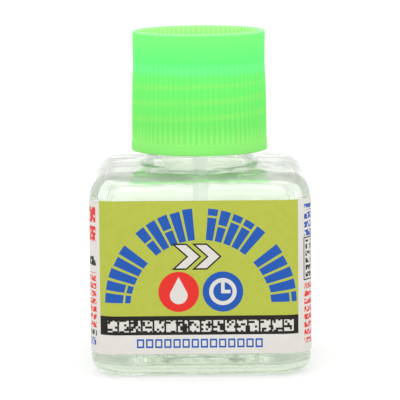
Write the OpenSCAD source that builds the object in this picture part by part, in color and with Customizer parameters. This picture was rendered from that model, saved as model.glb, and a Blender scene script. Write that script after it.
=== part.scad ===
// Square glass bottle for liquid cement, with a brush fixed in its screw cap.
// Origin: centre of the base. +Z is up, and the front of the label faces -Y. Millimetres.

/* [Bottle] */
// Width and depth of the bottle over its label
bottle_w = 44; // [40:1:50]
// Height where the straight walls turn into the shoulder
wall_top = 35.5; // [34:0.1:40]
// Radius of the upright corners
corner_r = 5.8; // [5:0.1:7]
// Radius of the shoulder
shoulder_r = 5; // [4:0.1:5.4]
// Radius of the heel round the base
heel_r = 3.6; // [2:0.1:4]
// Thickness of the glass walls
glass_t = 2.2; // [1.6:0.1:3]
// Thickness of the glass floor
floor_t = 4.2; // [3:0.1:6]
// Level of the cement in a full bottle
cement_level = 31; // [12:1:32]

/* [Neck and thread] */
// Height of the mouth, where the glass meets the cap's liner
mouth_z = 59; // [57:0.5:62]
// Outside radius of the neck between its threads
neck_r = 10.8; // [10.4:0.1:11]
// Radius of the mouth's bore
bore_r = 8.9; // [8:0.1:9.2]
// Rise of the thread in one turn, 8 threads to the inch
pitch = 3.175; // [3.175]
// Height of the thread above the neck
thread_h = 1.1; // [0.8:0.05:1.15]
// Number of turns of thread
thread_turns = 1.95; // [1.5:0.05:2]

/* [Cap] */
// Height of the cap from its skirt to its rim
cap_h = 24.15; // [23:0.05:26]
// Depth of the open cup above the cap's top plate
cup_depth = 5.65; // [4:0.05:6]
// Radius over the grip ribs at the rim
rim_r = 13.4; // [13.2:0.05:14]
// Radius of the plain band at the foot of the skirt
skirt_r = 13.8; // [13.6:0.05:14.4]
// Number of grip ribs
ribs = 72; // [36:6:90]
// Height of the grip ribs
rib_h = 0.3; // [0.2:0.05:0.4]
// Thickness of the soft liner
liner_t = 1.2; // [0.8:0.1:1.5]

/* [Brush] */
// Height of the tip of the bristles above the base
brush_tip_z = 6.4; // [6:0.2:12]
// Length of bristle below the stem
tuft_len = 10; // [6:0.5:14]
// Radius of the stem at its lower end
stem_r = 1.3; // [1.2:0.05:1.8]

/* [Label] */
// Height of the label's lower edge
label_bottom = 5; // [4:0.5:8]
// Height of the label's upper edge
label_top = 35.5; // [30:0.1:35.5]
// Thickness of the paper
label_t = 0.1; // [0.08:0.02:0.2]

/* [Hidden] */

smooth = 96;        // sides of a preview circle
post_sides = 64;    // sides of a rounded corner
step = 7.5;         // degrees between two rings of a thread
fade = 25;          // degrees over which a thread's end runs out
bite = 0.3;         // how far a thread or rib is sunk into its wall
slack = 0.1;        // gap between loose pieces, and round the cement
eps = 0.01;         // overrun of a cut past a face

glass_w = bottle_w / 2 - label_t;      // half width of the bare glass
shoulder_turn = 69;                    // degrees the shoulder turns before the roof
roof_r = neck_r + 2.6;                 // radius of the flat ring at the neck's foot
roof_z = wall_top + shoulder_r + 0.1;  // height of that ring
root_r = 2.4;                          // radius of the hollow at the neck's foot
lip_r = 0.7;                           // rounding of the mouth's outer edge
cavity_w = glass_w - glass_t;          // half width of the inside
cavity_corner = corner_r - glass_t;    // radius of its corners
cavity_roof = roof_z - glass_t;        // height of its ceiling round the neck
dish_r = 14.6;                         // radius of the hollow under the base
dish_h = 1.1;                          // its depth at the centre

cap_z = mouth_z + liner_t - (cap_h - cup_depth - 1.5);  // height of the skirt's lower edge
plate_z = mouth_z + liner_t;           // underside of the cap's top plate
rim_z = cap_z + cap_h;                 // top of the rim
floor_z = rim_z - cup_depth;           // floor of the open cup
bore_wall = neck_r + thread_h + 0.3;   // inside radius of the skirt
cup_r = rim_r - 1.35;                  // inside radius of the open cup
waist_r = rim_r - 0.08;                // radius over the ribs at the top plate
chest_r = rim_r + 0.18;                // radius over the ribs below it
boss_r = 3.2;                          // radius of the boss that holds the brush
boss_z = plate_z - 7;                  // lower end of the boss
pin_r = 1.7;                           // radius of the stem's pin in the boss

stem_bottom = brush_tip_z + tuft_len;  // lower end of the stem
collar_r = 2.6;                        // radius of the stem's collar
collar_h = 1.2;                        // thickness of the collar
socket_r = 0.85;                       // radius of the hole that holds the bristles
socket_depth = 5;                      // depth of that hole
wire_r = 0.2;                          // radius of the staple's wire
wire_z = stem_bottom + socket_depth - 1;
seam_gap = 1;                          // gap between the label's two ends

// Points along an arc in a plane, from angle a to angle b
function arc(x, y, r, a, b, n = 8) =
    [for (i = [0:n]) [x + r * cos(a + (b - a) * i / n), y + r * sin(a + (b - a) * i / n)]];

// Share of full height of a thread that is t degrees from its start
function run_out(t, last) = max(0.02, min(1, t / fade, (last - t) / fade));

// Four corners of a thread's section at t degrees; a thread inside a bore has crest_r below root_r
function thread_section(t, start, root, crest, foot, top, height) =
    let (
        last = 360 * thread_turns,
        share = run_out(t, last),
        z = height + pitch * t / 360,
        sunk = root + sign(root - crest) * bite,
        tip = root + (crest - root) * share,
        half_foot = foot / 2,
        half_top = half_foot + (top / 2 - half_foot) * share,
        section = [[sunk, -half_foot], [tip, -half_top], [tip, half_top], [sunk, half_foot]],
        order = crest > root ? [0, 1, 2, 3] : [3, 2, 1, 0]
    )
    [for (i = order) [
        section[i][0] * cos(start + t),
        section[i][0] * sin(start + t),
        z + section[i][1]
    ]];

// A helical thread that climbs counter-clockwise from the angle start, at a given height
module thread(start, root, crest, foot, top, height) {
    last = floor(360 * thread_turns / step);
    points = [for (i = [0:last])
        each thread_section(i * step, start, root, crest, foot, top, height)];
    sides = [for (i = [0:last - 1], j = [0:3])
        [4 * i + (j + 1) % 4, 4 * (i + 1) + (j + 1) % 4, 4 * (i + 1) + j, 4 * i + j]];
    ends = [[3, 2, 1, 0], [4 * last, 4 * last + 1, 4 * last + 2, 4 * last + 3]];
    polyhedron(points = points, faces = concat(sides, ends), convexity = 6);
}

// Upright rounded post for one corner of a square bottle
module post(radius, foot_r, top_r, low, high) {
    profile = concat(
        [[0, low]],
        arc(radius - foot_r, low + foot_r, foot_r, -90, 0, 6),
        arc(radius - top_r, high, top_r, 0, shoulder_turn, 9),
        [[0, high + top_r * sin(shoulder_turn)]]
    );
    rotate_extrude($fn = post_sides)
        polygon(profile);
}

// Rounded square block that narrows over a shoulder to a flat ring
module block(half_w, radius, foot_r, top_r, low, high, ring_r, ring_z) {
    hull() {
        for (x = [-1, 1], y = [-1, 1])
            translate([x * (half_w - radius), y * (half_w - radius), 0])
                post(radius, foot_r, top_r, low, high);
        translate([0, 0, ring_z - 0.1])
            cylinder(r = ring_r, h = 0.1, $fn = post_sides);
    }
}

// The inside of the bottle below its neck, made smaller all round by a gap
module cavity(gap) {
    block(
        half_w = cavity_w - gap,
        radius = cavity_corner - gap,
        foot_r = 2.4,
        top_r = cavity_corner - gap,
        low = floor_t + gap,
        high = cavity_roof - 0.2 - (cavity_corner - gap) * sin(shoulder_turn),
        ring_r = bore_r + 0.6,
        ring_z = cavity_roof - gap
    );
}

// Rounded square column with true round corners
module column(half_w, radius, low, high) {
    translate([0, 0, low])
        linear_extrude(high - low) {
            square([2 * half_w, 2 * (half_w - radius)], center = true);
            square([2 * (half_w - radius), 2 * half_w], center = true);
            for (x = [-1, 1], y = [-1, 1])
                translate([x * (half_w - radius), y * (half_w - radius)])
                    circle(r = radius, $fn = smooth);
        }
}

// Neck with a hollow at its foot and a rounded lip
module neck() {
    hollow_x = neck_r + root_r;
    hollow_z = roof_z - 0.1 + root_r;
    rotate_extrude($fn = smooth)
        polygon(concat(
            [[0, cavity_roof + 0.5], [hollow_x, cavity_roof + 0.5]],
            arc(hollow_x, hollow_z, root_r, 270, 180, 8),
            arc(neck_r - lip_r, mouth_z - lip_r, lip_r, 0, 90, 5),
            [[0, mouth_z]]
        ));
    thread(start = -85, root = neck_r, crest = neck_r + thread_h, foot = 2.2, top = 0.9,
        height = mouth_z - 8.4);
}

module glass_bottle() {
    dish_ball = (dish_r * dish_r + dish_h * dish_h) / (2 * dish_h);
    color([0.86, 0.92, 0.87, 0.45])
        difference() {
            union() {
                block(
                    half_w = glass_w,
                    radius = corner_r,
                    foot_r = heel_r,
                    top_r = shoulder_r,
                    low = 0,
                    high = wall_top,
                    ring_r = roof_r,
                    ring_z = roof_z
                );
                neck();
            }
            cavity(gap = 0);
            translate([0, 0, cavity_roof - 3])
                cylinder(r = bore_r, h = mouth_z, $fn = smooth);
            translate([0, 0, dish_h - dish_ball])
                sphere(r = dish_ball, $fn = smooth);
        }
}

module label() {
    color([0.72, 0.78, 0.27])
        difference() {
            column(bottle_w / 2, corner_r + label_t, label_bottom, label_top);
            column(glass_w, corner_r, label_bottom - 1, label_top + 1);
            translate([0, glass_w, (label_bottom + label_top) / 2])
                cube([seam_gap, 4, label_top], center = true);
        }
}

// The cement, with a clear well where the brush dips into it
module cement() {
    well_r = 2.4;
    color([0.93, 0.95, 0.93, 0.4])
        difference() {
            intersection() {
                cavity(gap = slack);
                translate([-cavity_w, -cavity_w, 0])
                    cube([2 * cavity_w, 2 * cavity_w, cement_level]);
            }
            translate([0, 0, -1])
                cylinder(r = well_r, h = cement_level + 2, $fn = smooth);
        }
}

// Soft washer between the mouth and the cap's top plate
module liner() {
    color([0.97, 0.97, 0.95])
        translate([0, 0, mouth_z])
            difference() {
                cylinder(r = bore_wall - slack, h = liner_t, $fn = smooth);
                translate([0, 0, -eps])
                    cylinder(r = boss_r + slack, h = liner_t + 2 * eps, $fn = smooth);
            }
}

// Upright teeth all round the cap, as tall as the cap
module rib_teeth() {
    root_half = 1.35;   // half width of a tooth at its root, in degrees
    tip_half = 0.6;     // and at its tip
    root = waist_r - rib_h - bite;
    tip = skirt_r + 1;
    translate([0, 0, cap_z])
        linear_extrude(cap_h)
            for (i = [0:ribs - 1]) {
                a = 360 * i / ribs;
                polygon([
                    root * [cos(a - root_half), sin(a - root_half)],
                    tip * [cos(a - tip_half), sin(a - tip_half)],
                    tip * [cos(a + tip_half), sin(a + tip_half)],
                    root * [cos(a + root_half), sin(a + root_half)],
                ]);
            }
}

// Turned ring between an inner radius and the cap's outline, lowered by depth
module cap_outline(inner, depth, low, high) {
    rotate_extrude($fn = smooth)
        polygon([
            [inner, low],
            [skirt_r - 0.1 - depth, low],
            [chest_r + 0.1 - depth, cap_z + 7],
            [chest_r - depth, plate_z - 4.4],
            [waist_r - depth, plate_z + 0.6],
            [rim_r - depth, high],
            [inner, high],
        ]);
}

module cap_shell() {
    band_h = 2.2;
    rim_round = 0.5;
    color([0.45, 1, 0.5, 0.85])
        difference() {
            union() {
                cap_outline(inner = 0, depth = rib_h, low = cap_z, high = rim_z - rim_round);
                intersection() {
                    rib_teeth();
                    cap_outline(
                        inner = rim_r - 1,
                        depth = 0,
                        low = cap_z + band_h - 0.5,
                        high = rim_z - rim_round - 0.4
                    );
                }
                // plain band at the foot of the skirt
                translate([0, 0, cap_z])
                    cylinder(r1 = skirt_r, r2 = skirt_r - 0.1, h = band_h, $fn = smooth);
                // smooth rim above the ribs
                rotate_extrude($fn = smooth)
                    polygon(concat(
                        [[0, rim_z - 1.1], [rim_r - 0.2, rim_z - 1.1]],
                        arc(rim_r - rim_round, rim_z - rim_round, rim_round, 0, 90, 5),
                        [[0, rim_z]]
                    ));
            }
            // open cup above the top plate
            translate([0, 0, floor_z])
                cylinder(r = cup_r, h = cup_depth + 1, $fn = smooth);
            // inside of the skirt, round the boss
            difference() {
                translate([0, 0, cap_z - 1])
                    cylinder(r = bore_wall, h = plate_z - cap_z + 1, $fn = smooth);
                translate([0, 0, boss_z])
                    cylinder(r = boss_r, h = plate_z - boss_z + eps, $fn = smooth);
            }
            // hole in the boss for the brush
            translate([0, 0, boss_z - 1])
                cylinder(r = pin_r + 0.02, h = plate_z - boss_z + 1, $fn = smooth);
        }
    color([0.45, 1, 0.5, 0.85])
        cap_thread();
}

// Thread inside the skirt, half a turn's rise below the neck's thread
module cap_thread() {
    thread(start = -85, root = bore_wall, crest = bore_wall - thread_h, foot = 1.7, top = 0.7,
        height = mouth_z - 8.4 - pitch / 2);
}

// Stem with a pin for the cap's boss, a collar, and a socket for the bristles
module brush_stem() {
    color([0.93, 0.95, 0.93])
        difference() {
            union() {
                translate([0, 0, boss_z])
                    cylinder(r = pin_r, h = plate_z - boss_z, $fn = smooth);
                translate([0, 0, boss_z - collar_h])
                    cylinder(r = collar_r, h = collar_h, $fn = smooth);
                translate([0, 0, stem_bottom])
                    cylinder(r1 = stem_r, r2 = pin_r, h = boss_z - collar_h / 2 - stem_bottom,
                        $fn = smooth);
            }
            translate([0, 0, stem_bottom - 1])
                cylinder(r = socket_r, h = socket_depth + 1, $fn = smooth);
            staple_wire(wire_r + eps, 2 * stem_r + 1);
        }
}

// Wire across the stem, at the staple's height
module staple_wire(radius, length) {
    translate([0, 0, wire_z])
        rotate([0, 90, 0])
            cylinder(r = radius, h = length, center = true, $fn = 24);
}

// Wire that anchors the folded bristles in the socket
module staple() {
    color([0.8, 0.8, 0.78])
        staple_wire(wire_r, 2 * stem_r);
}

// Bristles as one body: straight in the socket, full below it, and drawn to a fine tip
module bristle_tuft() {
    in_socket = socket_r - 0.02;
    color([0.85, 0.78, 0.6])
        difference() {
            rotate_extrude($fn = smooth)
                polygon([
                    [0, brush_tip_z],
                    [0.15, brush_tip_z],
                    [0.75, brush_tip_z + 0.45 * tuft_len],
                    [0.95, brush_tip_z + 0.7 * tuft_len],
                    [in_socket, stem_bottom - 0.3],
                    [in_socket, stem_bottom + socket_depth - slack],
                    [0, stem_bottom + socket_depth - slack],
                ]);
            staple_wire(wire_r + eps, 4 * socket_r);
        }
}

glass_bottle();
label();
cement();
liner();
cap_shell();
brush_stem();
bristle_tuft();
staple();
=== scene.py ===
import math
import random

import bmesh
import bpy
from mathutils import Matrix, Vector, noise


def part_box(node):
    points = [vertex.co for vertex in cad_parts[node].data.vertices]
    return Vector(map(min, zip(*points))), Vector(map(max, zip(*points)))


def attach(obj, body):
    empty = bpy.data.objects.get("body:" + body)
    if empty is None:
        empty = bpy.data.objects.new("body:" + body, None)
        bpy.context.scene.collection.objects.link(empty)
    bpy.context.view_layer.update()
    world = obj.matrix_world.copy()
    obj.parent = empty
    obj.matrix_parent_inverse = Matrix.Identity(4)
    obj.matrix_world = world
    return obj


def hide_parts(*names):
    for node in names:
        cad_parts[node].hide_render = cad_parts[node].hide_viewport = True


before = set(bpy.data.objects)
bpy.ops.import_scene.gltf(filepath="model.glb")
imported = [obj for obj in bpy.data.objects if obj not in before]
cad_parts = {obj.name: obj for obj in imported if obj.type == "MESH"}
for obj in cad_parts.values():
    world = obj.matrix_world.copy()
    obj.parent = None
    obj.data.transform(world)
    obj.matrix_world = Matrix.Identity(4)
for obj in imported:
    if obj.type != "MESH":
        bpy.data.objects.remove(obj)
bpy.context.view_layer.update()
print("frame loaded:", sorted(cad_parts))

mm = 0.001
thread = {
    "pitch": 3.175 * mm,   # rise in one turn
    "turns": 1.95,
    "startAngle": -85,     # degrees, a little right of the label's middle
    "stepAngle": 7.5,
    "fadeSteps": 4,        # steps over which an end runs out into its wall
    "endSize": 0.35,       # share of its full size at an end
    "sides": 12,
}


def onlyThis(obj):
    bpy.ops.object.select_all(action="DESELECT")
    obj.select_set(True)
    bpy.context.view_layer.objects.active = obj


def startEdit(obj):
    onlyThis(obj)
    bpy.ops.object.mode_set(mode="EDIT")
    bpy.ops.mesh.select_mode(type="VERT")


def endEdit():
    bpy.ops.object.mode_set(mode="OBJECT")


def pickAll():
    bpy.ops.mesh.select_all(action="SELECT")


def pickVerts(obj, test):
    work = bmesh.from_edit_mesh(obj.data)
    for vert in work.verts:
        vert.select = bool(test(vert.co))
    work.select_flush(True)
    work.select_flush(False)
    bmesh.update_edit_mesh(obj.data)


def pickEdges(obj, test):
    bpy.ops.mesh.select_all(action="DESELECT")
    work = bmesh.from_edit_mesh(obj.data)
    for edge in work.edges:
        if test(edge):
            edge.select = True
    bmesh.update_edit_mesh(obj.data)


def placeInMesh(obj):
    onlyThis(obj)
    bpy.ops.object.transform_apply(location=True, rotation=True, scale=True)


def arc(x, z, radius, fromDeg, toDeg, steps):
    points = []
    for i in range(steps + 1):
        a = math.radians(fromDeg + (toDeg - fromDeg) * i / steps)
        points.append((x + radius * math.cos(a), z + radius * math.sin(a)))
    return points


def scalePicked(factor, z):
    bpy.ops.transform.resize(value=(factor, factor, 1), center_override=(0, 0, z))


# the selected ring grows through the points: size and height of each new ring
def growRing(start, points):
    size, z = start
    for newSize, newZ in points:
        bpy.ops.mesh.extrude_region_move(TRANSFORM_OT_translate={"value": (0, 0, newZ - z)})
        scalePicked(newSize / size, newZ)
        size, z = newSize, newZ
    return size, z


# the selected ring is drawn towards a true circle, and then brought to a radius
def roundRing(obj, share, radius):
    bpy.ops.transform.tosphere(value=share)
    work = bmesh.from_edit_mesh(obj.data)
    picked = [vert.co.xy.length for vert in work.verts if vert.select]
    z = next(vert.co.z for vert in work.verts if vert.select)
    scalePicked(radius * len(picked) / sum(picked), z)


def closeRing(z, size, tipZ):
    growRing((size, z), [(size * 0.02, tipZ)])
    bpy.ops.mesh.merge(type="CENTER")


# a square ring is drawn inwards and turns round, step by step:
# reach and height above the level, how much rounder, and the radius it ends at
def roundInwards(obj, at, steps, level=0):
    for reach, rise, share, radius in steps:
        growRing(at, [(reach * mm, level + rise * mm)])
        roundRing(obj, share, radius * mm)
        at = (radius * mm, level + rise * mm)
    return at


# the inside of the floor swells a little towards its middle
def closeFloor(obj, at, low, floor):
    at = roundInwards(obj, at, floor["steps"], low)
    size, z = growRing(at, [(reach * mm, low + rise * mm) for reach, rise in floor["swell"]])
    closeRing(z, size, low + floor["middle"])


def shadeSmooth(obj, angle):
    onlyThis(obj)
    bpy.ops.object.shade_smooth_by_angle(angle=math.radians(angle))


def tidyMesh(obj, smoothAngle=40):
    pickAll()
    bpy.ops.mesh.remove_doubles(threshold=0.002 * mm)
    bpy.ops.mesh.normals_make_consistent(inside=False)
    endEdit()
    shadeSmooth(obj, smoothAngle)


def addModifier(obj, kind, **values):
    onlyThis(obj)
    bpy.ops.object.modifier_add(type=kind)
    modifier = obj.modifiers[-1]
    for key, value in values.items():
        setattr(modifier, key, value)
    return modifier


def applyModifier(obj, modifier):
    onlyThis(obj)
    bpy.ops.object.modifier_apply(modifier=modifier.name)


def smoothOnce(obj):
    applyModifier(obj, addModifier(obj, "SUBSURF", levels=1, render_levels=1))


def combine(obj, tool, operation):
    change = addModifier(obj, "BOOLEAN", operation=operation, object=tool, solver="EXACT")
    applyModifier(obj, change)
    bpy.data.objects.remove(tool, do_unlink=True)


# a loop of points round a square with round corners
def squareRing(name, half, z, cornerRadius, cornerSteps=6, sideCuts=11):
    bpy.ops.mesh.primitive_plane_add(size=2 * half, location=(0, 0, z))
    obj = bpy.context.object
    obj.name = name
    placeInMesh(obj)
    startEdit(obj)
    pickAll()
    bpy.ops.mesh.bevel(
        offset=cornerRadius,
        offset_type="OFFSET",
        segments=cornerSteps,
        profile=0.5,
        affect="VERTICES",
    )
    pickAll()
    bpy.ops.mesh.delete(type="ONLY_FACE")
    pickEdges(obj, lambda edge: edge.calc_length() > half)
    bpy.ops.mesh.subdivide(number_cuts=sideCuts)
    return obj


def circleRing(name, radius, z, count):
    bpy.ops.mesh.primitive_circle_add(vertices=count, radius=radius, location=(0, 0, z))
    obj = bpy.context.object
    obj.name = name
    placeInMesh(obj)
    startEdit(obj)
    pickAll()
    return obj


def pickHeight(obj, z):
    pickVerts(obj, lambda co: abs(co.z - z) < 0.01 * mm)


# a rounded thread, swept step by step round the axis; its ends run out into the wall
def sweepThread(name, radius, z, outward, high):
    bpy.ops.mesh.primitive_circle_add(
        vertices=thread["sides"],
        radius=1,
        fill_type="NGON",
        location=(radius, 0, z),
        rotation=(math.radians(90), 0, 0),
    )
    obj = bpy.context.object
    obj.name = name
    obj.scale = (outward, high, 1)
    placeInMesh(obj)
    startEdit(obj)
    pickAll()
    turn = math.radians(thread["startAngle"])
    bpy.ops.transform.rotate(value=-turn, orient_axis="Z", center_override=(0, 0, 0))
    steps = round(thread["turns"] * 360 / thread["stepAngle"])
    rise = thread["pitch"] * thread["stepAngle"] / 360
    fade, least = thread["fadeSteps"], thread["endSize"]
    size = least
    centre = Vector((radius * math.cos(turn), radius * math.sin(turn), z))
    bpy.ops.transform.resize(value=(size, size, size), center_override=centre)
    for step in range(1, steps + 1):
        turn = math.radians(thread["startAngle"] + step * thread["stepAngle"])
        bpy.ops.mesh.extrude_region_move(TRANSFORM_OT_translate={"value": (0, 0, rise)})
        bpy.ops.transform.rotate(
            value=-math.radians(thread["stepAngle"]), orient_axis="Z", center_override=(0, 0, 0)
        )
        nearEnd = min(step, steps - step, fade)
        newSize = least + (1 - least) * nearEnd / fade
        centre = Vector((radius * math.cos(turn), radius * math.sin(turn), z + step * rise))
        factor = newSize / size
        bpy.ops.transform.resize(value=(factor,) * 3, center_override=centre)
        size = newSize
    tidyMesh(obj, 60)
    return obj


def newMaterial(name):
    material = bpy.data.materials.new(name)
    material.use_nodes = True
    tree = material.node_tree
    shader = tree.nodes["Principled BSDF"]
    return material, tree, shader


def addNode(tree, kind, **values):
    node = tree.nodes.new(kind)
    for key, value in values.items():
        setattr(node, key, value)
    return node


def setSockets(node, values):
    for key, value in values.items():
        node.inputs[key].default_value = value


def placeOn(tree, kind="Object"):
    return addNode(tree, "ShaderNodeTexCoord").outputs[kind]


def splitVector(tree, vector):
    split = addNode(tree, "ShaderNodeSeparateXYZ")
    tree.links.new(vector, split.inputs["Vector"])
    return split.outputs


def noiseOn(tree, scale, detail=3, roughness=0.55, stretch=(1, 1, 1)):
    mapping = addNode(tree, "ShaderNodeMapping")
    mapping.inputs["Scale"].default_value = stretch
    cloud = addNode(tree, "ShaderNodeTexNoise")
    setSockets(cloud, {"Scale": scale, "Detail": detail, "Roughness": roughness})
    tree.links.new(placeOn(tree), mapping.inputs["Vector"])
    tree.links.new(mapping.outputs["Vector"], cloud.inputs["Vector"])
    return cloud.outputs["Fac"]


def bumpFrom(tree, height, strength, distance, shader):
    bump = addNode(tree, "ShaderNodeBump")
    setSockets(bump, {"Strength": strength, "Distance": distance})
    tree.links.new(height, bump.inputs["Height"])
    tree.links.new(bump.outputs["Normal"], shader.inputs["Normal"])


def rampBetween(tree, value, stops):
    ramp = addNode(tree, "ShaderNodeValToRGB")
    marks = ramp.color_ramp.elements
    while len(marks) < len(stops):
        marks.new(0.5)
    for mark, (place, colour) in zip(marks, stops):
        mark.position = place
        mark.color = (*colour, 1)
    tree.links.new(value, ramp.inputs["Fac"])
    return ramp.outputs["Color"]


# a colour that drifts between two shades
def twoShades(tree, scale, dark, light):
    return rampBetween(tree, noiseOn(tree, scale), [(0.3, dark), (0.7, light)])


# a socket takes a number, a colour or what another socket gives
def feed(tree, socket, value):
    if isinstance(value, (int, float)):
        socket.default_value = value
    elif isinstance(value, tuple):
        socket.default_value = (*value, 1)
    else:
        tree.links.new(value, socket)


def calc(tree, operation, *values):
    node = addNode(tree, "ShaderNodeMath", operation=operation)
    for socket, value in zip(node.inputs, values):
        feed(tree, socket, value)
    return node.outputs[0]


def apart(tree, one, other):
    return calc(tree, "ABSOLUTE", calc(tree, "SUBTRACT", one, other))


def within(tree, value, low, high):
    return calc(tree, "COMPARE", value, (low + high) / 2, (high - low) / 2)


# a soft edge: 0 at start, most at end
def fadeBetween(tree, value, start, end, most=1):
    fade = addNode(tree, "ShaderNodeMapRange", interpolation_type="SMOOTHSTEP")
    setSockets(fade, {"From Min": start, "From Max": end, "To Max": most})
    tree.links.new(value, fade.inputs["Value"])
    return fade.outputs["Result"]


def both(tree, first, *others):
    for other in others:
        first = calc(tree, "MULTIPLY", first, other)
    return first


def lengthOf(tree, x, y):
    return calc(tree, "SQRT", calc(tree, "ADD", both(tree, x, x), both(tree, y, y)))


# lays a colour over another one where the mask is 1
def layOver(tree, under, mask, colour):
    mix = addNode(tree, "ShaderNodeMix", data_type="RGBA")
    for i, value in ((0, mask), (6, under), (7, colour)):
        feed(tree, mix.inputs[i], value)
    return mix.outputs[2]


def makePlainMaterial(name, dark, light, scale, roughness, bumpScale, bumpDepth, **sockets):
    material, tree, shader = newMaterial(name)
    tree.links.new(twoShades(tree, scale, dark, light), shader.inputs["Base Color"])
    setSockets(shader, {"Roughness": roughness, **sockets})
    bumpFrom(tree, noiseOn(tree, bumpScale), 0.3, bumpDepth, shader)
    return material


def dress(obj, *materials):
    obj.data.materials.clear()
    for material in materials:
        obj.data.materials.append(material)


bottle = {
    "cornerRadius": 5.8 * mm,
    "shoulderRadius": 5.0 * mm,
    "shoulderTurn": 66,      # degrees that the shoulder turns before the roof
    "heelRadius": 3.6 * mm,
    "wallTop": 35.5 * mm,
    "neckRadius": 10.8 * mm,
    "neckFoot": 2.4 * mm,    # radius of the hollow at the neck's foot
    "roofHeight": 40.5 * mm,
    "boreRadius": 8.9 * mm,
    "lipRadius": 0.7 * mm,
    "wall": 2.2 * mm,
    "floor": 4.2 * mm,
    "ceiling": 38.4 * mm,
    "dishRadius": 14.6 * mm,
    "dishDepth": 1.1 * mm,
    "knurlDepth": 0.22 * mm,  # notches in the ring that the bottle stands on
    "threadMiddle": 8.4 * mm,  # below the mouth
    # rings in millimetres that turn the square into a circle, as roundInwards reads them
    "roofSteps": [(15.6, 40.33, 0.35, 16.4), (15.0, 40.42, 0.7, 14.9), (13.9, 40.47, 1, 13.9)],
    "baseSteps": [(17.2, 0, 0.6, 17.3), (15.4, 0, 1, 15.4)],
    "ceilingSteps": [(15.8, -0.12, 0.4, 16.2), (14.2, -0.05, 0.75, 14.2), (12.4, 0, 1, 12.4)],
    "floorRise": {
        "steps": [(14, 0.1, 0.6, 14.5), (11, 0.3, 1, 11)],
        "swell": [(6, 0.55), (2, 0.68)],
        "middle": 0.7 * mm,
    },
    "insideFoot": 2.4 * mm,  # rounding where the walls meet the floor
}
glassLook = {
    "colour": (0.95, 0.982, 0.93),
    "pale": (0.972, 0.992, 0.96),
    "thick": (0.62, 0.69, 0.55),  # through the heavy floor and heel
    "stipple": (0.34, 0.44, 0.28),
    "stippleBand": (3.3 * mm, 4.8 * mm),
    "stippleHalf": 11.5 * mm,  # half its width on the front and on the back
    "ior": 1.46,
    "alpha": 0.86,           # the rest lets the light straight into the bottle
    # a faint painted glow that lightens the glass
    "paintedGlow": 0.035,
    "wave": 0.1 * mm,        # unevenness of the inside below the cement's level
    "shoulderWave": 0.3 * mm,
}


def makeGlassMaterial():
    material, tree, shader = newMaterial("clearGlass")
    tint = twoShades(tree, 90, glassLook["colour"], glassLook["pale"])
    x, y, z = splitVector(tree, placeOn(tree))
    heel = fadeBetween(tree, z, bottle["floor"] + 2 * mm, bottle["floor"])
    tint = layOver(tree, tint, heel, glassLook["thick"])
    # the mould's stippled band low on the front and the back
    half = glassLook["stippleHalf"]
    stipple = both(
        tree,
        within(tree, z, *glassLook["stippleBand"]),
        within(tree, x, -half, half),
        calc(tree, "GREATER_THAN", calc(tree, "ABSOLUTE", y), 20.5 * mm),
        calc(tree, "GREATER_THAN", noiseOn(tree, 1300, 3, 0.7, (0.55, 1, 1)), 0.5),
    )
    tint = layOver(tree, tint, stipple, glassLook["stipple"])
    tree.links.new(tint, shader.inputs["Base Color"])
    setSockets(shader, {
        "Roughness": 0,
        "IOR": glassLook["ior"],
        "Transmission Weight": 1,
        "Alpha": glassLook["alpha"],
        # the emission is a faint painted glow that lightens the glass
        "Emission Color": (0.78, 1.0, 0.72, 1),
        "Emission Strength": glassLook["paintedGlow"],
    })
    bumpFrom(tree, noiseOn(tree, 130, 2), 0.15, 0.4 * mm, shader)
    return material


def growOutside(obj, half, mouth):
    b = bottle
    pickHeight(obj, b["heelRadius"])
    walls = [(half, z * mm) for z in (7, 13, 20, 27, 32.5)]
    shoulder = arc(
        half - b["shoulderRadius"], b["wallTop"], b["shoulderRadius"], 0, b["shoulderTurn"], 7
    )
    at = growRing((half, b["heelRadius"]), walls + shoulder + [(17.4 * mm, 40.2 * mm)])
    at = roundInwards(obj, at, b["roofSteps"])
    footX = b["neckRadius"] + b["neckFoot"]
    foot = arc(footX, b["roofHeight"] + b["neckFoot"], b["neckFoot"], 270, 180, 6)
    neck = [(b["neckRadius"], z * mm) for z in (45.5, 48.5, 51.5, 54.5, 57)]
    lip = arc(b["neckRadius"] - b["lipRadius"], mouth - b["lipRadius"], b["lipRadius"], 0, 90, 4)
    inLip = arc(b["boreRadius"] + 0.5 * mm, mouth - 0.5 * mm, 0.5 * mm, 90, 180, 3)
    bore = [(b["boreRadius"], z * mm) for z in (55, 50, 45, 41.5)]
    # the bore stops a little above the ceiling, so that the two rings face each other
    inFoot = arc(b["boreRadius"] + 1.6 * mm, b["ceiling"] + 1.6 * mm, 1.6 * mm, 180, 250, 4)
    growRing(at, foot + neck + lip + inLip + bore + inFoot)


def growBase(obj, half):
    b = bottle
    pickHeight(obj, b["heelRadius"])
    heel = arc(half - b["heelRadius"], b["heelRadius"], b["heelRadius"], 0, -90, 6)
    at = growRing((half, b["heelRadius"]), heel[1:])
    at = roundInwards(obj, at, b["baseSteps"])
    dish = [(b["dishRadius"], 0.02 * mm)]
    for share in (0.93, 0.8, 0.6, 0.4, 0.2):
        dish.append((b["dishRadius"] * share, b["dishDepth"] * (1 - share * share)))
    size, z = growRing(at, dish)
    closeRing(z, size, b["dishDepth"])


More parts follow.
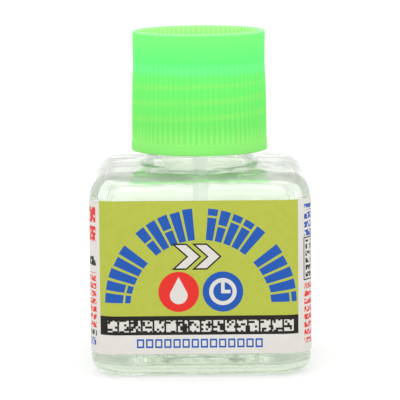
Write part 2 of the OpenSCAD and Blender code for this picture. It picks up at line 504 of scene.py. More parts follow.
def growInside(half):
    b = bottle
    inner = half - b["wall"]
    innerCorner = b["cornerRadius"] - b["wall"]
    foot = b["floor"] + b["insideFoot"]
    turn = b["shoulderTurn"]
    room = squareRing("glassInside", inner, foot, innerCorner)
    pickHeight(room, foot)
    arch = b["ceiling"] - 0.2 * mm - innerCorner * math.sin(math.radians(turn))
    walls = [(inner, z * mm) for z in (12, 19, 26, 31)]
    shoulder = arc(inner - innerCorner, arch, innerCorner, 0, turn, 6)
    at = growRing((inner, foot), walls + shoulder)
    roundInwards(room, at, b["ceilingSteps"], b["ceiling"])
    pickHeight(room, foot)
    floor = arc(inner - b["insideFoot"], foot, b["insideFoot"], 0, -90, 5)
    at = growRing((inner, foot), floor[1:])
    closeFloor(room, at, b["floor"], b["floorRise"])
    endEdit()
    return room


# blown glass is uneven inside, most of all under the shoulder
def waveInside(obj, inner):
    for vert in obj.data.vertices:
        co = vert.co
        inRoom = max(abs(co.x), abs(co.y)) < inner + 0.05 * mm and 4 * mm < co.z < 38.6 * mm
        if not inRoom or (co.z > 38 * mm and co.xy.length < 11 * mm):
            continue
        depth = glassLook["shoulderWave"] if co.z > 32 * mm else glassLook["wave"]
        push = noise.noise(co * 150) + 0.5 * noise.noise(co * 330)
        vert.co = co + vert.normal * push * depth * 0.8


def knurlBase(obj):
    startEdit(obj)
    # every second point of the standing ring, 144 points round
    pickVerts(
        obj,
        lambda co: co.z < 0.05 * mm
        and 15 * mm < co.xy.length < 17.8 * mm
        and round(math.degrees(math.atan2(co.y, co.x)) / 2.5) % 2 == 1,
    )
    bpy.ops.transform.translate(value=(0, 0, bottle["knurlDepth"]))
    endEdit()


def makeBottle():
    b = bottle
    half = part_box("glass_bottle")[1].x
    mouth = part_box("glass_bottle")[1].z
    obj = squareRing("glassBottle", half, b["heelRadius"], b["cornerRadius"])
    growOutside(obj, half, mouth)
    growBase(obj, half)
    endEdit()
    room = growInside(half)
    onlyThis(obj)
    room.select_set(True)
    bpy.ops.object.join()
    startEdit(obj)
    pickEdges(obj, lambda edge: edge.is_boundary)
    bpy.ops.mesh.bridge_edge_loops()
    tidyMesh(obj, 80)
    smoothOnce(obj)
    waveInside(obj, half - b["wall"])
    knurlBase(obj)
    middle = mouth - b["threadMiddle"]
    neckThread = sweepThread(
        "neckThread", b["neckRadius"] - 0.25 * mm, middle, 1.3 * mm, 1.05 * mm
    )
    combine(obj, neckThread, "UNION")
    shadeSmooth(obj, 50)
    dress(obj, makeGlassMaterial())
    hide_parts("glass_bottle")
    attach(obj, "bottle")
    print("bottle made:", len(obj.data.polygons), "faces")


makeBottle()

cap = {
    "points": 432,           # six round the cap for each rib
    "ribs": 72,
    "ribDepths": {1: 0.03 * mm, 2: 0.17 * mm, 3: 0.27 * mm},  # at 1, 2 and 3 points from a crest
    "shallowAbove": 61.5 * mm,  # round the cup the ribs are half as deep
    "skirtRadius": 13.8 * mm,
    "skirtInside": 12.2 * mm,
    "cupInside": 12.05 * mm,
    "rimRadius": 13.4 * mm,
    "cupDepth": 5.65 * mm,
    "plate": 1.5 * mm,
    "bossRadius": 3.2 * mm,
    "bossLength": 7 * mm,
    "bossHole": 1.72 * mm,
    "ribFoot": 45.5 * mm,
    "ribTop": 66.4 * mm,
    "rimRound": 0.35 * mm,
    "cupRound": 0.4 * mm,
    "skirtRound": 0.25 * mm,
    # radius and height of the ribbed outline, in millimetres
    "outline": [
        (13.65, 45.6), (13.66, 48), (13.64, 50.5), (13.6, 53), (13.55, 55.5), (13.46, 57.7),
        (13.37, 59.4), (13.32, 60.8), (13.33, 62.3), (13.36, 64), (13.39, 65.7), (13.4, 66.35),
    ],
}
capLook = {
    # colour up the cap: share of its height, colour
    "heights": [
        (0.0, (0.31, 0.79, 0.2)),
        (0.1, (0.29, 0.75, 0.175)),
        (0.22, (0.2, 0.72, 0.15)),
        (0.5, (0.18, 0.745, 0.16)),
        (0.64, (0.18, 0.775, 0.175)),
        (0.68, (0.18, 0.81, 0.265)),
        (0.725, (0.175, 0.81, 0.265)),
        (0.755, (0.14, 0.8, 0.205)),
        (0.84, (0.165, 0.81, 0.205)),
        (0.982, (0.22, 0.82, 0.21)),
        # the last stop, over the rounding of the rim, is a painted highlight
        (1.0, (0.44, 0.92, 0.44)),
    ],
    "streak": (0.38, 0.74, 0.15),
    "streakLevel": 49.9 * mm,  # of the thread's band, where it passes the right side
    "streakMost": 0.36,
    "streakBetween": (49.5 * mm, 57.5 * mm),
    "cup": (0.50, 0.9, 0.38),
    "bar": (0.80, 0.92, 0.46),
    "barMost": 0.85,
    "line": (0.5, 0.85, 0.22),
    "lineMost": 0.4,
    "grain": (0.09, 0.85, 0.13),
    "roughness": 0.55,
    "ior": 1.49,
    "gloss": 0.02,
    "subsurface": 0.25,
    # a painted glow, standing in for the fluorescence of the neon plastic
    "paintedGlow": 0.12,
}


def makeCapMaterial():
    material, tree, shader = newMaterial("neonCapPlastic")
    low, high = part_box("cap_shell")
    x, y, z = splitVector(tree, placeOn(tree))
    share = addNode(tree, "ShaderNodeMapRange")
    setSockets(share, {"From Min": low.z, "From Max": high.z})
    tree.links.new(z, share.inputs["Value"])
    colour = rampBetween(tree, share.outputs["Result"], capLook["heights"])

    # the thread inside shows through the skirt as a slanted band
    turn = calc(tree, "DIVIDE", calc(tree, "ARCTAN2", y, x), 2 * math.pi)
    above = calc(tree, "SUBTRACT", z, capLook["streakLevel"])
    climb = calc(tree, "DIVIDE", above, thread["pitch"])
    phase = calc(tree, "FRACT", calc(tree, "SUBTRACT", climb, turn))
    near = apart(tree, phase, 0.5)
    band = fadeBetween(tree, near, 0.3, 0.05, capLook["streakMost"])
    onSkirt = within(tree, z, *capLook["streakBetween"])
    streaks = both(tree, band, onSkirt, calc(tree, "MULTIPLY", noiseOn(tree, 130, 2), 1.6))
    colour = layOver(tree, colour, streaks, capLook["streak"])

    # light comes through between the ribs: bars inside the cup and streaks at the skirt's foot
    ribTurn = calc(tree, "FRACT", calc(tree, "MULTIPLY", turn, cap["ribs"]))
    ribNear = apart(tree, ribTurn, 0.5)
    radius = lengthOf(tree, x, y)
    inCup = both(
        tree,
        calc(tree, "LESS_THAN", radius, cap["cupInside"] + 0.1 * mm),
        calc(tree, "GREATER_THAN", z, high.z - cap["cupDepth"] + 0.3 * mm),
    )
    colour = layOver(tree, colour, inCup, capLook["cup"])
    bars = both(tree, calc(tree, "GREATER_THAN", ribNear, 0.27), inCup, capLook["barMost"])
    colour = layOver(tree, colour, bars, capLook["bar"])
    lines = both(
        tree,
        calc(tree, "GREATER_THAN", ribNear, 0.36),
        fadeBetween(tree, z, low.z + 7 * mm, low.z + 2.4 * mm, capLook["lineMost"]),
        calc(tree, "GREATER_THAN", z, low.z + 2.3 * mm),
    )
    colour = layOver(tree, colour, lines, capLook["line"])

    grainy = calc(tree, "MULTIPLY", noiseOn(tree, 260), 0.22)
    colour = layOver(tree, colour, grainy, capLook["grain"])
    tree.links.new(colour, shader.inputs["Base Color"])
    setSockets(shader, {
        "Roughness": capLook["roughness"],
        "IOR": capLook["ior"],
        "Specular IOR Level": capLook["gloss"],
        "Subsurface Weight": capLook["subsurface"],
        "Subsurface Radius": (0.5, 1.0, 0.6),
        "Subsurface Scale": 1.2 * mm,
        # the emission is a painted glow, standing in for the fluorescence of the neon plastic
        "Emission Color": (0.1, 1.0, 0.14, 1),
        "Emission Strength": capLook["paintedGlow"],
    })
    bumpFrom(tree, noiseOn(tree, 2500, 2), 0.08, 0.05 * mm, shader)
    return material


# the cap's section, from the foot of the boss round the skirt and the rim to the cup's floor
def capSection(low, high):
    c = cap
    under = high - c["cupDepth"] - c["plate"]
    boss = under - c["bossLength"]
    floor = high - c["cupDepth"]
    inside, skirt, rim, cup = c["skirtInside"], c["skirtRadius"], c["rimRadius"], c["cupInside"]
    footRound, rimRound, cupRound = c["skirtRound"], c["rimRound"], c["cupRound"]
    points = [
        (c["bossHole"], boss + 0.25 * mm),
        (c["bossHole"] + 0.2 * mm, boss),
        (c["bossRadius"] - 0.2 * mm, boss),
        (c["bossRadius"], boss + 0.2 * mm),
        (c["bossRadius"], under - 0.1 * mm),
        (c["bossRadius"] + 0.08 * mm, under),
        (7.5 * mm, under),
        (inside - 0.1 * mm, under),
        (inside, under - 0.1 * mm),
    ]
    points += [(inside, z * mm) for z in (57, 54, 51, 48, 45.5)]
    points += [(inside, low + 0.35 * mm), (inside + 0.25 * mm, low)]
    points += arc(skirt - footRound, low + footRound, footRound, -90, 0, 3)
    points += [(skirt - 0.04 * mm, low + 1.1 * mm), (skirt - 0.09 * mm, low + 2.05 * mm)]
    points += [(skirt - 0.14 * mm, low + 2.2 * mm)]
    points += [(r * mm, z * mm) for r, z in c["outline"]]
    points += [(rim, 66.6 * mm)]
    points += arc(rim - rimRound, high - rimRound, rimRound, 0, 90, 4)
    points += arc(cup + cupRound, high - cupRound, cupRound, 90, 180, 3)
    points += [(cup, z * mm) for z in (65.5, 64, 62.8)]
    points += arc(cup - cupRound, floor + cupRound, cupRound, 0, -90, 3)
    # the floor, with the small raised mark that the mould's gate leaves
    points += [(8 * mm, floor), (4 * mm, floor), (1.1 * mm, floor)]
    points += [(0.9 * mm, floor + 0.16 * mm), (0.5 * mm, floor + 0.2 * mm)]
    return points


def cutRibs(obj):
    step = 360 / cap["points"]
    perRib = cap["points"] // cap["ribs"]
    shallow = cap["shallowAbove"]
    parts = ((cap["ribFoot"], shallow, 1), (shallow, cap["ribTop"], 0.5))

    def fromCrest(co):
        place = round(math.degrees(math.atan2(co.y, co.x)) / step) % perRib
        return min(place, perRib - place)

    for offset, depth in cap["ribDepths"].items():
        for low, high, share in parts:
            pickVerts(
                obj,
                lambda co: co.xy.length > 13 * mm and low < co.z < high and fromCrest(co) == offset,
            )
            scalePicked(1 - depth * share / cap["rimRadius"], 0)


def makeCap():
    low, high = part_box("cap_shell")
    hole = cap["bossHole"]
    top = high.z - cap["cupDepth"] - cap["plate"] - 0.05 * mm
    obj = circleRing("capShell", hole, top, cap["points"])
    closeRing(top, hole, top + 0.04 * mm)
    pickHeight(obj, top)
    size, z = growRing((hole, top), capSection(low.z, high.z))
    closeRing(z, size, z)
    cutRibs(obj)
    tidyMesh(obj, 60)
    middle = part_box("glass_bottle")[1].z - bottle["threadMiddle"] - thread["pitch"] / 2
    inThread = sweepThread(
        "capThread", cap["skirtInside"] - 0.05 * mm, middle, 1.0 * mm, 0.8 * mm
    )
    combine(obj, inThread, "UNION")
    shadeSmooth(obj, 55)
    dress(obj, makeCapMaterial())
    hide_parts("cap_shell")
    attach(obj, "cap")
    print("cap made:", len(obj.data.polygons), "faces")


makeCap()

label = {
    "thickness": 0.07 * mm,
    "cornerRadius": 5.9 * mm,
    "cornerSteps": 12,
    "sideCuts": 12,
    "seam": 0.5 * mm,        # half the gap between its two ends
    "rows": 6,
}
inkColours = {
    "paper": (0.675, 0.648, 0.605),
    "paperLight": (0.71, 0.687, 0.65),
    "green": (0.42, 0.466, 0.052),
    "greenLight": (0.445, 0.495, 0.062),
    "blue": (0.008, 0.085, 0.40),
    "red": (0.72, 0.022, 0.015),
    "black": (0.008, 0.008, 0.005),
}
# everything printed, in millimetres: u round the bottle from the front's middle, z up
labelPrint = {
    "panel": (-20.2, 19.4, 12.6, 36),
    "band": (-20.2, 19.4, 8.8, 12.6),
    "bandMarks": (-18.5, 18.7, 9.4, 11.7),
    "arch": {"height": 15, "outer": 19, "inner": 13.9, "rise": 1.2, "cells": 23},
    "chevrons": {"u": (-3.6, 0.4), "z": 24.4, "tall": 2.3, "wide": 2.1, "lean": 1.1},
    "badges": {"u": 4.35, "z": 17.4, "radius": 4.0, "ring": 2.7, "ringHole": 1.9, "hand": 0.35},
    "boxRow": {"place": (-12.7, 12.5, 6.2, 8.0), "pitch": 1.8},
}


# how far round the label a point is from the front's middle
def aroundLabel(co, flat, radius):
    x, y = abs(co.x), co.y
    quarter = radius * math.pi / 2
    if y < -flat and x <= flat:
        u = x
    elif y < -flat:
        u = flat + radius * math.atan2(x - flat, -flat - y)
    elif y <= flat:
        u = 2 * flat + quarter + y
    elif x > flat:
        u = 3 * flat + quarter + radius * math.atan2(y - flat, x - flat)
    else:
        u = 4 * flat + 2 * quarter - x
    return math.copysign(u, co.x)


def boxInk(tree, u, z, place):
    return both(tree, within(tree, u, *place[:2]), within(tree, z, *place[2:]))


def discInk(tree, u, z, centre, radius):
    du = calc(tree, "SUBTRACT", u, centre[0])
    dz = calc(tree, "SUBTRACT", z, centre[1])
    return calc(tree, "LESS_THAN", lengthOf(tree, du, dz), radius)


# how far a value is through its own cell, from 0 to 1
def cellOf(tree, value, start, step):
    return calc(tree, "FRACT", calc(tree, "DIVIDE", calc(tree, "SUBTRACT", value, start), step))


# rows of small plain marks, each broken up at random, that stand for small print
def marksInk(tree, u, z, place, pitch, fill, grain, solid=0.3):
    mask = boxInk(tree, u, z, place)
    for value, start, step, share in zip((u, z), (place[0], place[2]), pitch, fill):
        mask = both(tree, mask, calc(tree, "LESS_THAN", cellOf(tree, value, start, step), share))
    vector = addNode(tree, "ShaderNodeCombineXYZ")
    for socket, value in zip(vector.inputs, (u, z)):
        tree.links.new(calc(tree, "FLOOR", calc(tree, "DIVIDE", value, grain)), socket)
    speckle = addNode(tree, "ShaderNodeTexWhiteNoise", noise_dimensions="2D")
    tree.links.new(vector.outputs["Vector"], speckle.inputs["Vector"])
    return both(tree, mask, calc(tree, "GREATER_THAN", speckle.outputs["Value"], solid))


# plain bars in groups of five, set round an arch, some of them with a slit
def archInk(tree, u, z):
    arch = labelPrint["arch"]
    dz = calc(tree, "SUBTRACT", z, arch["height"])
    radius = lengthOf(tree, u, dz)
    angle = calc(tree, "ARCTAN2", dz, u)
    deeper = calc(tree, "MULTIPLY", calc(tree, "SINE", angle), arch["rise"])
    inner = calc(tree, "SUBTRACT", arch["inner"], deeper)
    place = calc(tree, "MULTIPLY", angle, arch["cells"] / math.pi)
    cell = calc(tree, "FLOOR", place)
    inBar = within(tree, calc(tree, "FRACT", place), 0.11, 0.89)
    word = calc(tree, "MODULO", calc(tree, "ADD", cell, 0.5), 6)
    mask = both(
        tree,
        inBar,
        calc(tree, "LESS_THAN", word, 5),
        calc(tree, "LESS_THAN", radius, arch["outer"]),
        calc(tree, "GREATER_THAN", radius, inner),
        calc(tree, "GREATER_THAN", dz, 0),
    )
    chance = addNode(tree, "ShaderNodeTexWhiteNoise", noise_dimensions="1D")
    tree.links.new(cell, chance.inputs["W"])
    # the slit is a quarter, a half or three quarters of the way out, or there is none
    quarter = calc(tree, "FLOOR", calc(tree, "MULTIPLY", chance.outputs["Value"], 7))
    share = calc(tree, "MULTIPLY_ADD", quarter, 0.25, -0.25)
    length = calc(tree, "SUBTRACT", arch["outer"], inner)
    middle = calc(tree, "MULTIPLY_ADD", length, share, inner)
    off = apart(tree, radius, middle)
    return both(tree, mask, calc(tree, "GREATER_THAN", off, 0.2))


def chevronInk(tree, u, z, start, margin):
    c = labelPrint["chevrons"]
    dz = apart(tree, z, c["z"])
    slope = calc(tree, "MULTIPLY", dz, c["lean"])
    lean = calc(tree, "ADD", calc(tree, "SUBTRACT", u, start), slope)
    wide = within(tree, lean, 1.2 - margin, 1.2 + c["wide"] + margin)
    return both(tree, wide, calc(tree, "LESS_THAN", dz, c["tall"] + margin * 0.7))


def printFront(tree, u, z, colour):
    p, inks = labelPrint, inkColours
    mottle = twoShades(tree, 700, inks["green"], inks["greenLight"])
    colour = layOver(tree, colour, boxInk(tree, u, z, p["panel"]), mottle)
    colour = layOver(tree, colour, archInk(tree, u, z), inks["blue"])
    for margin, ink in ((0.45, inks["black"]), (0, inks["paper"])):
        for start in p["chevrons"]["u"]:
            colour = layOver(tree, colour, chevronInk(tree, u, z, start, margin), ink)
    badge = p["badges"]
    for side, ink in ((-1, inks["red"]), (1, inks["blue"])):
        centre = (side * badge["u"], badge["z"])
        colour = layOver(tree, colour, discInk(tree, u, z, centre, badge["radius"]), ink)
    # a drop in the first badge: a disc under a pointed cap
    u0, z0 = -badge["u"], badge["z"]
    drop = discInk(tree, u, z, (u0, z0 - 0.7), 1.75)
    side = apart(tree, u, u0)
    up = calc(tree, "SUBTRACT", z0 + 3.0, z)
    cone = both(
        tree,
        calc(tree, "LESS_THAN", side, calc(tree, "MULTIPLY", up, 0.52)),
        within(tree, z, z0 - 0.2, z0 + 3.0),
    )
    colour = layOver(tree, colour, calc(tree, "MAXIMUM", drop, cone), inks["paper"])
    # a ring with two hands in the second one, for a clock
    u0, half = badge["u"], badge["hand"]
    ring = both(
        tree,
        discInk(tree, u, z, (u0, z0), badge["ring"]),
        calc(tree, "SUBTRACT", 1, discInk(tree, u, z, (u0, z0), badge["ringHole"])),
    )
    longHand = boxInk(tree, u, z, (u0 - half, u0 + half, z0, z0 + 2.2))
    shortHand = boxInk(tree, u, z, (u0 - half, u0 + 1.5, z0 - half, z0 + half))
    for mark in (ring, longHand, shortHand):
        colour = layOver(tree, colour, mark, inks["paper"])
    colour = layOver(tree, colour, boxInk(tree, u, z, p["band"]), inks["black"])
    marks = marksInk(tree, u, z, p["bandMarks"], (2.325, 10), (0.84, 1), 0.46, 0.33)
    colour = layOver(tree, colour, marks, inks["paper"])
    row = p["boxRow"]
    cell = cellOf(tree, u, row["place"][0], row["pitch"])
    low, high = row["place"][2:]
    outline = both(tree, boxInk(tree, u, z, row["place"]), calc(tree, "LESS_THAN", cell, 0.8))
    hollow = both(tree, within(tree, cell, 0.17, 0.63), within(tree, z, low + 0.35, high - 0.35))
    outline = both(tree, outline, calc(tree, "SUBTRACT", 1, hollow))
    return layOver(tree, colour, outline, inks["blue"])


# small print on the sides and the back, as marksInk reads it, and its ink
sidePrint = [
    ((-24.3, -21.3, 27.2, 34.6), (10, 3.8), (1, 0.8), 0.5, "red"),
    ((-24.3, -21.3, 22.4, 24.2), (10, 10), (1, 1), 0.5, "black"),
    ((-24.3, -21.3, 10.0, 21.0), (10, 1.55), (1, 0.72), 0.4, "red"),
    ((-24.3, -21.3, 8.4, 9.5), (1.3, 10), (0.8, 1), 0.3, "black"),
    ((-24.3, -21.3, 6.5, 8.0), (1.5, 10), (0.8, 1), 0.3, "blue"),
    ((-56, -25.6, 25.5, 34.4), (1.7, 2.3), (0.82, 0.66), 0.42, "black"),
    ((-56, -25.6, 7, 23.5), (1.2, 1.5), (0.84, 0.6), 0.3, "black"),
    ((21.0, 24.0, 28.0, 34.8), (10, 1.7), (1, 0.75), 0.4, "blue"),
    ((21.4, 23.6, 19.8, 27.2), (10, 1.4), (1, 0.7), 0.4, "black"),
    ((21.0, 24.0, 6.6, 18.6), (10, 1.55), (1, 0.72), 0.4, "red"),
    ((26.5, 57, 24.5, 34.4), (1.2, 1.5), (0.84, 0.6), 0.3, "blue"),
    ((26.5, 57, 6.8, 22.5), (1.2, 1.5), (0.84, 0.6), 0.3, "red"),
    ((-80.5, -60, 14, 34), (1.25, 1.6), (0.84, 0.6), 0.3, "black"),
    ((60, 80.5, 14, 29), (1.25, 1.6), (0.84, 0.6), 0.3, "black"),
]
backBars = [
    ((60, 80.5, 31, 34), "green"),
    ((-80.5, -60, 7, 12), "green"),
    ((60, 80.5, 7, 12), "red"),
]


def printAround(tree, u, z, colour):
    inks = inkColours
    for place, pitch, fill, grain, ink in sidePrint:
        colour = layOver(tree, colour, marksInk(tree, u, z, place, pitch, fill, grain), inks[ink])
    # an empty frame round the marks on the right, and plain bars on the back
    frameBox = both(
        tree,
        boxInk(tree, u, z, (20.8, 24.2, 19.2, 27.8)),
        calc(tree, "SUBTRACT", 1, boxInk(tree, u, z, (21.05, 23.95, 19.45, 27.55))),
    )
    colour = layOver(tree, colour, frameBox, inks["black"])
    for place, ink in backBars:
        colour = layOver(tree, colour, boxInk(tree, u, z, place), inks[ink])
    return colour


def makePrintMaterial(perimeter, height, bottom):
    material, tree, shader = newMaterial("labelPrint")
    uvMap = addNode(tree, "ShaderNodeUVMap", uv_map="labelMap")
    across, up = splitVector(tree, uvMap.outputs["UV"])[:2]
    u = calc(tree, "MULTIPLY_ADD", across, perimeter, -perimeter / 2)
    z = calc(tree, "MULTIPLY_ADD", up, height, bottom)
    paper = twoShades(tree, 420, inkColours["paper"], inkColours["paperLight"])
    colour = printFront(tree, u, z, paper)
    colour = printAround(tree, u, z, colour)
    tree.links.new(colour, shader.inputs["Base Color"])
    setSockets(shader, {"Roughness": 0.42, "Specular IOR Level": 0.25})
    bumpFrom(tree, noiseOn(tree, 1500, 4), 0.12, 0.03 * mm, shader)
    return material


def makeLabel():
    low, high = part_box("label")
    half, radius = high.x, label["cornerRadius"]
    flat = half - radius
    obj = squareRing("paperLabel", half, low.z, radius, label["cornerSteps"], label["sideCuts"])
    # the loop opens at the middle of the back, and its two ends come close together
    pickEdges(
        obj,
        lambda edge: (edge.verts[0].co + edge.verts[1].co).y / 2 > half - 0.01 * mm
        and abs((edge.verts[0].co + edge.verts[1].co).x) < 0.1 * mm,
    )
    bpy.ops.mesh.delete(type="EDGE_FACE")
    for side in (-1, 1):
        pickVerts(obj, lambda co: co.y > half - 0.01 * mm and 0.4 * mm < side * co.x < 2 * mm)
        work = bmesh.from_edit_mesh(obj.data)
        at = next(vert.co.x for vert in work.verts if vert.select)
        bpy.ops.transform.translate(value=(side * label["seam"] - at, 0, 0))
    pickAll()
    rows = label["rows"]
    levels = [low.z + (high.z - low.z) * i / rows for i in range(1, rows + 1)]
    growRing((half, low.z), [(half, z) for z in levels])
    pickAll()
    bpy.ops.mesh.normals_make_consistent(inside=False)
    endEdit()
    front = min(obj.data.polygons, key=lambda face: face.center.y)
    if front.normal.y > 0:
        startEdit(obj)
        pickAll()
        bpy.ops.mesh.flip_normals()
        endEdit()

    perimeter = 8 * flat + 2 * math.pi * radius
    uvLayer = obj.data.uv_layers.new(name="labelMap")
    for loop in obj.data.loops:
        co = obj.data.vertices[loop.vertex_index].co
        across = 0.5 + aroundLabel(co, flat, radius) / perimeter
        uvLayer.data[loop.index].uv = (across, (co.z - low.z) / (high.z - low.z))
    # the studio's light comes through the paper, so its back is bright
    paperBack = makePlainMaterial(
        "paperBack", (0.74, 0.73, 0.69), (0.8, 0.79, 0.75), 900, 0.8, 2500, 0.03 * mm,
        **{"Emission Color": (0.97, 1.0, 0.94, 1), "Emission Strength": 0.5},
    )
    printed = makePrintMaterial(perimeter / mm, (high.z - low.z) / mm, low.z / mm)
    dress(obj, printed, paperBack)
    sheet = addModifier(
        obj,
        "SOLIDIFY",
        thickness=label["thickness"],
        offset=-1,
        material_offset=1,
        material_offset_rim=1,
    )
    applyModifier(obj, sheet)
    shadeSmooth(obj, 30)
    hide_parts("label")
    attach(obj, "bottle")
    print("label made")


makeLabel()

cement = {
    "gap": 0.16 * mm,        # clear of the uneven glass
    "level": 30.6 * mm,
    "climb": 0.35 * mm,      # how far the cement creeps up the glass
    "topSteps": [(15, 0, 0.6, 15), (11, 0, 1, 11)],
    "floorRise": {
        "steps": [(14, 0.12, 0.6, 14.5), (11, 0.34, 1, 11)],
        "swell": [(6, 0.6), (2, 0.72)],
        "middle": 0.74 * mm,
    },
    "colour": (0.965, 0.985, 0.972),
    "pale": (0.985, 0.995, 0.99),
    "ior": 1.4,
    "alpha": 0.5,
}


def makeCementMaterial():
    material, tree, shader = newMaterial("liquidCement")
    tint = twoShades(tree, 60, cement["colour"], cement["pale"])
    tree.links.new(tint, shader.inputs["Base Color"])
    setSockets(shader, {
        "Roughness": 0,
        "IOR": cement["ior"],
        "Transmission Weight": 1,
        "Alpha": cement["alpha"],
    })
    bumpFrom(tree, noiseOn(tree, 60, 1), 0.05, 0.2 * mm, shader)
    return material


def makeCement():
    gap = cement["gap"]
    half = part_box("glass_bottle")[1].x - bottle["wall"] - gap
    corner = bottle["cornerRadius"] - bottle["wall"] - gap
    foot = bottle["floor"] + bottle["insideFoot"]
    low = bottle["floor"] + gap
    obj = squareRing("cementLiquid", half, foot, corner)
    pickHeight(obj, foot)
    top = cement["level"] + cement["climb"]
    at = growRing((half, foot), [(half, z * mm) for z in (12, 20, 27)] + [(half, top)])
    level = cement["level"]
    creep = [(half - 0.2 * mm, top - 0.2 * mm), (half - 0.7 * mm, level + 0.05 * mm)]
    at = growRing(at, creep + [(half - 1.6 * mm, level)])
    at = roundInwards(obj, at, cement["topSteps"], level)
    at = growRing(at, [(6 * mm, level), (2 * mm, level)])
    closeRing(level, at[0], level)
    pickHeight(obj, foot)
    curve = bottle["insideFoot"] - gap
    floor = arc(half - curve, foot, curve, 0, -90, 5)
    at = growRing((half, foot), floor[1:])
    closeFloor(obj, at, low, cement["floorRise"])
    tidyMesh(obj, 60)
    smoothOnce(obj)
    dress(obj, makeCementMaterial())
    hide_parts("cement")
    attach(obj, "bottle")
    print("cement made")


makeCement()

liner = {
    "points": 96,
    "hole": 3.3 * mm,
    "edge": 0.12 * mm,
    "groove": 0.05 * mm,
    "pressed": (9.2 * mm, 10.6 * mm),
}


def makeLiner():
    low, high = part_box("liner")
    outer, edge = high.x, liner["edge"]
    inner = liner["hole"]
    near, far = liner["pressed"]
    slope = 0.2 * mm
    obj = circleRing("sealLiner", inner, low.z + edge, liner["points"])
    # the underside carries the shallow ring that the bottle's mouth has pressed in it
    pressed = low.z + liner["groove"]
    section = [
        (inner + edge, low.z), (near - slope, low.z), (near, pressed), (far, pressed),
        (far + slope, low.z), (outer - edge, low.z), (outer, low.z + edge), (outer, high.z - edge),
        (outer - edge, high.z), (inner + edge, high.z), (inner, high.z - edge), (inner, low.z + edge),
    ]
    growRing((inner, low.z + edge), section)
    tidyMesh(obj, 30)
    foam = makePlainMaterial(
        "linerFoam", (0.82, 0.83, 0.78), (0.9, 0.91, 0.87), 1600, 0.75, 3500, 0.06 * mm
    )
    dress(obj, foam)
    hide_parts("liner")
    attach(obj, "liner")
    print("liner made")


makeLiner()

brush = {
    "points": 48,
    "pinRadius": 1.7 * mm,
    "collarRadius": 2.6 * mm,
    "collarThickness": 1.2 * mm,
    "pinLength": 7 * mm,
    "tipRadius": 1.3 * mm,
    "socketRadius": 0.85 * mm,
    "socketDepth": 5 * mm,
    "bristles": 190,
    "bristleRadius": 0.042 * mm,
    "topDrop": 0.06 * mm,    # the pin's end face is sunk a little
    "drillRadius": 0.215 * mm,
    # radius of the whole tuft at heights above its tip
    "envelope": [(0, 0.15), (1.5, 0.32), (4.5, 0.72), (7, 0.93), (9.8, 0.82), (14.9, 0.82)],
}


def makeStem():
    low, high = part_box("brush_stem")
    collarTop = high.z - brush["pinLength"]
    collarFoot = collarTop - brush["collarThickness"]
    pin, tip, collar = brush["pinRadius"], brush["tipRadius"], brush["collarRadius"]
    socket, depth = brush["socketRadius"], brush["socketDepth"]
    start = (pin - 0.3 * mm, high.z - brush["topDrop"])
    obj = circleRing("brushStem", *start, brush["points"])
    closeRing(start[1], start[0], high.z - brush["topDrop"] / 2)
    pickHeight(obj, start[1])
    section = [(pin, high.z - 0.4 * mm), (pin, high.z - 3.5 * mm), (pin, collarTop + 0.1 * mm)]
    section += [(pin + 0.1 * mm, collarTop), (collar - 0.2 * mm, collarTop)]
    section += [(collar, collarTop - 0.2 * mm), (collar, collarFoot + 0.2 * mm)]
    section += [(collar - 0.2 * mm, collarFoot), (pin + 0.35 * mm, collarFoot)]
    section += [(pin, collarFoot - 0.5 * mm)]
    # a long taper, with two raised bands low down that wipe the neck of the bottle
    length = collarFoot - low.z
    for share in (0.2, 0.4, 0.6):
        section.append((pin + (tip - pin) * share, collarFoot - length * share))
    for share in (0.74, 0.8):
        r, z = pin + (tip - pin) * share, collarFoot - length * share
        band = [(r, z + 0.5 * mm), (r + 0.12 * mm, z + 0.3 * mm), (r + 0.12 * mm, z - 0.3 * mm)]
        section += band + [(r, z - 0.5 * mm)]
    section += [(tip, low.z + 1.5 * mm), (tip - 0.02 * mm, low.z + 0.2 * mm)]
    section += [(tip - 0.14 * mm, low.z), (socket + 0.1 * mm, low.z), (socket, low.z + 0.1 * mm)]
    section += [(socket, low.z + 2.5 * mm), (socket, low.z + depth)]
    size, z = growRing(start, section)
    closeRing(z, size, z)
    tidyMesh(obj, 40)
    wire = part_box("staple")
    middle = (wire[0] + wire[1]) / 2
    bpy.ops.mesh.primitive_cylinder_add(
        vertices=24,
        radius=brush["drillRadius"],
        depth=4 * mm,
        location=middle,
        rotation=(0, math.radians(90), 0),
    )
    drill = bpy.context.object
    placeInMesh(drill)
    combine(obj, drill, "DIFFERENCE")
    shadeSmooth(obj, 40)
    # the stem's emission is a faint painted glow that lightens it
    plastic = makePlainMaterial(
        "stemPlastic", (0.85, 0.89, 0.84), (0.9, 0.93, 0.89), 500, 0.4, 1800, 0.04 * mm,
        **{"Transmission Weight": 0.6, "Emission Strength": 0.14},
    )
    dress(obj, plastic)
    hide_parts("brush_stem")
    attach(obj, "cap")
    print("stem made")


makeStem()


def tuftRadius(height):
    points = brush["envelope"]
    for (low, inner), (high, outer) in zip(points, points[1:]):
        if height <= high * mm:
            share = max(0, (height - low * mm) / ((high - low) * mm))
            return (inner + (outer - inner) * share) * mm
    return points[-1][1] * mm


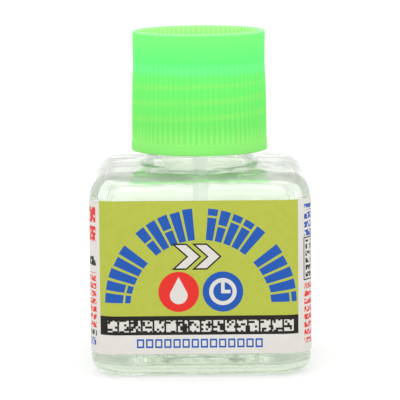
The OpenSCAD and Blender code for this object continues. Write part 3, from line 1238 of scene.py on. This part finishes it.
# one bristle, tapered towards its tip, is made once and copied into a sunflower pattern
def makeBristles():
    low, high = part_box("bristle_tuft")
    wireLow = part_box("staple")[0].z
    radius = brush["bristleRadius"]
    one = circleRing("bristleTuft", 0.35 * radius, low.z, 5)
    length = high.z - low.z
    taper = [(0.6, 0.1), (0.85, 0.3), (1, 0.47), (1, 0.66), (1, 1)]
    points = [(size * radius, low.z + length * share) for size, share in taper]
    growRing((0.35 * radius, low.z), points)
    bpy.ops.mesh.edge_face_add()
    pickHeight(one, low.z)
    bpy.ops.mesh.edge_face_add()
    tidyMesh(one, 80)
    plain = [vert.co.copy() for vert in one.data.vertices]
    chance = random.Random(7)
    copies = []
    count = brush["bristles"]
    for i in range(count):
        share = math.sqrt((i + 0.5) / count)
        angle = i * math.radians(137.508)
        lift = chance.uniform(0, 0.09) * share + (0.03 if share > 0.9 else 0)
        # the ones below the wire stop under it, and the others pass beside it
        underWire = abs(0.82 * mm * share * math.sin(angle)) < 0.27 * mm
        top = wireLow - 0.05 * mm if underWire else high.z - chance.uniform(0, 0.4) * mm
        piece = one
        if i > 0:
            piece = bpy.data.objects.new("bristle", one.data.copy())
            bpy.context.scene.collection.objects.link(piece)
        for vert, co in zip(piece.data.vertices, plain):
            rise = (co.z - low.z) / length
            z = low.z + length * lift + (top - low.z - length * lift) * rise
            reach = (tuftRadius(z - low.z) - radius) * share
            vert.co = (co.x + reach * math.cos(angle), co.y + reach * math.sin(angle), z)
        copies.append(piece)
    onlyThis(one)
    for piece in copies:
        piece.select_set(True)
    bpy.ops.object.join()
    hair = makePlainMaterial(
        "bristleHair", (0.42, 0.30, 0.16), (0.62, 0.48, 0.28), 2600, 0.45, 6000, 0.02 * mm
    )
    dress(one, hair)
    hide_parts("bristle_tuft")
    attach(one, "cap")
    print("bristles made:", len(one.data.polygons), "faces")


makeBristles()

wireSteel = makePlainMaterial(
    "stapleSteel", (0.5, 0.49, 0.47), (0.68, 0.67, 0.65), 3000, 0.3, 5000, 0.01 * mm, Metallic=1
)
dress(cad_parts["staple"], wireSteel)
print("staple finished")

studio = {
    "distance": 559.5 * mm,
    "height": 108.8 * mm,
    "lookDown": 7.753,       # degrees
    "tilt": -0.511,
    "lens": 249.2,
    "floor": (0.5, 0.5, 0.5),
    "floorGlow": 0.56,       # the table is lit from below as well
    # how pale the room is, from the camera's side to the far side
    "world": [(0, 0.78), (0.25, 0.86), (0.5, 0.86), (0.7, 0.97)],
    # softboxes: place, size and watts
    "boxes": {
        "topBox": ((0, 0, 0.9), (0.9, 0.9), 1.0),
        "frontBox": ((-0.15, -0.7, 0.55), (0.6, 0.5), 1.6),
        "sideBox": ((0.7, -0.3, 0.35), (0.4, 0.6), 0.3),
    },
    "aim": (0, 0, 0.03),
}


def softbox(name, place, size, power):
    bpy.ops.object.light_add(type="AREA", location=place)
    light = bpy.context.object
    light.name = name
    light.data.shape = "RECTANGLE"
    light.data.size, light.data.size_y = size
    light.data.energy = power
    toBottle = Vector(studio["aim"]) - Vector(place)
    light.rotation_euler = toBottle.to_track_quat("-Z", "Y").to_euler()


def makeStudio():
    bpy.ops.mesh.primitive_plane_add(size=6, location=(0, 0, 0))
    floor = bpy.context.object
    floor.name = "studioFloor"
    material, tree, shader = newMaterial("paleFloor")
    setSockets(shader, {
        "Base Color": (*studio["floor"], 1),
        "Roughness": 0.9,
        "Specular IOR Level": 0.1,
        "Emission Color": (1, 1, 1, 1),
        "Emission Strength": studio["floorGlow"],
    })
    floor.data.materials.append(material)

    for name, (place, size, power) in studio["boxes"].items():
        softbox(name, place, size, power)

    # a pale room, darker at the camera's side so that the glass keeps its edges
    world = bpy.data.worlds.new("paleStudio")
    world.use_nodes = True
    bpy.context.scene.world = world
    tree = world.node_tree
    direction = splitVector(tree, placeOn(tree, "Generated"))
    depth = calc(tree, "MULTIPLY_ADD", direction[1], 0.5, 0.5)
    stops = [(place, (grey, grey, grey)) for place, grey in studio["world"]]
    sky = tree.nodes["Background"]
    tree.links.new(rampBetween(tree, depth, stops), sky.inputs["Color"])
    sky.inputs["Strength"].default_value = 1

    bpy.ops.object.camera_add(location=(0, -studio["distance"], studio["height"]))
    camera = bpy.context.object
    camera.data.lens = studio["lens"]
    camera.data.clip_start = 0.01
    turn = Matrix.Rotation(math.radians(90 - studio["lookDown"]), 3, "X")
    turn = turn @ Matrix.Rotation(math.radians(studio["tilt"]), 3, "Z")
    camera.rotation_euler = turn.to_euler()
    bpy.context.scene.camera = camera
    bpy.context.scene.view_settings.view_transform = "Standard"


makeStudio()
print("studio made")
